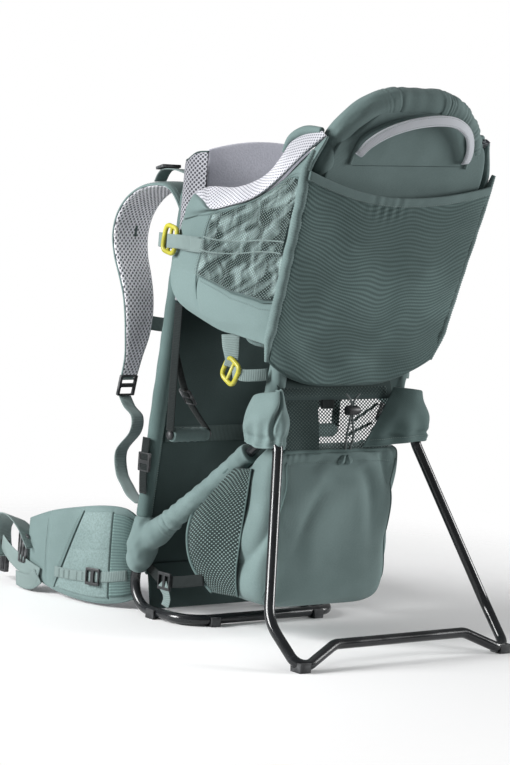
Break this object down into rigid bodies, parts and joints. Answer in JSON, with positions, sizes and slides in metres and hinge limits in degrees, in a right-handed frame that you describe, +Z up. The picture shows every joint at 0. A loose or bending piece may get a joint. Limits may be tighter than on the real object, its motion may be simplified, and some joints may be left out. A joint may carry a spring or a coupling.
{
  "type": "baby carrier backpack",
  "caption": "Framed child carrier backpack with tube frame, folding kickstand, padded cockpit and headrest, storage bag, shoulder straps and hip belt.",
  "frame": {"origin": "on the floor, below the middle of the overall box", "axes": "+Z up, +Y the way the wearer faces, +X to the wearer's right; the rear panel looks toward -Y"},
  "size_m": [0.3968, 0.7094, 0.7495],
  "materials": {
    "tube": "black powder coat, satin",
    "black_plastic": "moulded, matt",
    "steel": "brushed",
    "rubber": "moulded, matt",
    "sage_cloth": "coated plain weave",
    "dark_cloth": "coated plain weave",
    "stretch_knit": "ribbed stretch knit",
    "net": "open net",
    "spacer_mesh": "perforated spacer mesh",
    "fleece": "brushed fleece",
    "yellow_plastic": "moulded, satin",
    "webbing": "woven webbing",
    "grab_band": "woven band",
    "cord": "braided cord"
  },
  "bodies": {
    "frame": {"back_frame": "tube", "seat_frame": "tube", "strut_clamps": "black_plastic", "hub_brackets": "black_plastic", "hub_pins": "steel", "base_feet": "rubber", "frame_sleeve": "sage_cloth", "back_panel": "dark_cloth", "lumbar_pad": "spacer_mesh", "back_pads": "spacer_mesh", "slide_rail": "black_plastic", "side_wing_left": "sage_cloth", "side_wing_right": "sage_cloth", "rim_pads": "spacer_mesh", "front_wall": "spacer_mesh", "chin_pad": "fleece", "seat_sling": "dark_cloth", "child_harness": "dark_cloth", "rear_panel": "dark_cloth", "head_panel": "dark_cloth", "stretch_pocket": "stretch_knit", "headrest_hood": "sage_cloth", "head_pad": "fleece", "hub_sleeves": "sage_cloth", "yellow_adjusters": "yellow_plastic", "body_webs": "webbing", "storage_bag": "sage_cloth", "waist_mesh": "net", "mesh_pockets": "net", "strut_sleeves": "sage_cloth", "drawcord": "cord", "cord_lock": "black_plastic", "panel_locks": "black_plastic"},
    "kickstand": {"kickstand": "tube", "kick_feet": "rubber"},
    "shoulder_harness": {"yoke_plate": "black_plastic", "strap_left": "spacer_mesh", "strap_right": "spacer_mesh", "load_lifters": "webbing", "strap_locks": "black_plastic", "strap_webs": "webbing"},
    "sternum_strap": {"sternum_web": "webbing", "sternum_male": "black_plastic", "sternum_female": "black_plastic"},
    "hip_left": {"fin_left": "sage_cloth", "fin_lock_left": "black_plastic", "hip_web_left": "webbing", "hip_male": "black_plastic"},
    "hip_right": {"fin_right": "sage_cloth", "fin_lock_right": "black_plastic", "hip_web_right": "webbing", "hip_female": "black_plastic"},
    "stirrup_left": {"stirrup_left": "webbing"},
    "stirrup_right": {"stirrup_right": "webbing"},
    "grab_handle": {"grab_handle": "grab_band"},
    "cord_button": {"cord_button": "black_plastic"}
  },
  "joints": [
    {"name": "kickstand_fold", "type": "hinge", "parent": "frame", "child": "kickstand", "pos_m": [0, -0.189, 0.305], "axis": [1, 0, 0], "range_deg": [0, 48]},
    {"name": "back_length_slide", "type": "slide", "parent": "frame", "child": "shoulder_harness", "axis": [0, -0.0566, 0.9984], "range_m": [-0.05, 0.012], "deforming": ["strap_webs", "load_lifters"]},
    {"name": "sternum_slide", "type": "slide", "parent": "shoulder_harness", "child": "sternum_strap", "axis": [0, 0.05, 0.9987], "range_m": [-0.022, 0.0015]},
    {"name": "hip_left_swing", "type": "hinge", "parent": "frame", "child": "hip_left", "pos_m": [-0.127, 0.077, 0.07], "axis": [0, 0, 1], "range_deg": [-28, 6]},
    {"name": "hip_right_swing", "type": "hinge", "parent": "frame", "child": "hip_right", "pos_m": [0.127, 0.077, 0.07], "axis": [0, 0, 1], "range_deg": [-6, 28]},
    {"name": "stirrup_left_swing", "type": "hinge", "parent": "frame", "child": "stirrup_left", "pos_m": [-0.148, -0.008, 0.4326], "axis": [1, 0, 0], "range_deg": [-25, 10]},
    {"name": "stirrup_right_swing", "type": "hinge", "parent": "frame", "child": "stirrup_right", "pos_m": [0.148, -0.008, 0.4326], "axis": [1, 0, 0], "range_deg": [-25, 10]},
    {"name": "grab_handle_flip", "type": "hinge", "parent": "frame", "child": "grab_handle", "pos_m": [0, -0.2789, 0.648], "axis": [1, 0, 0], "range_deg": [0, 60]},
    {"name": "cord_button_press", "type": "slide", "parent": "frame", "child": "cord_button", "axis": [-1, 0, 0], "range_m": [0, 0.0025], "stiffness_N_per_m": 300}
  ]
}
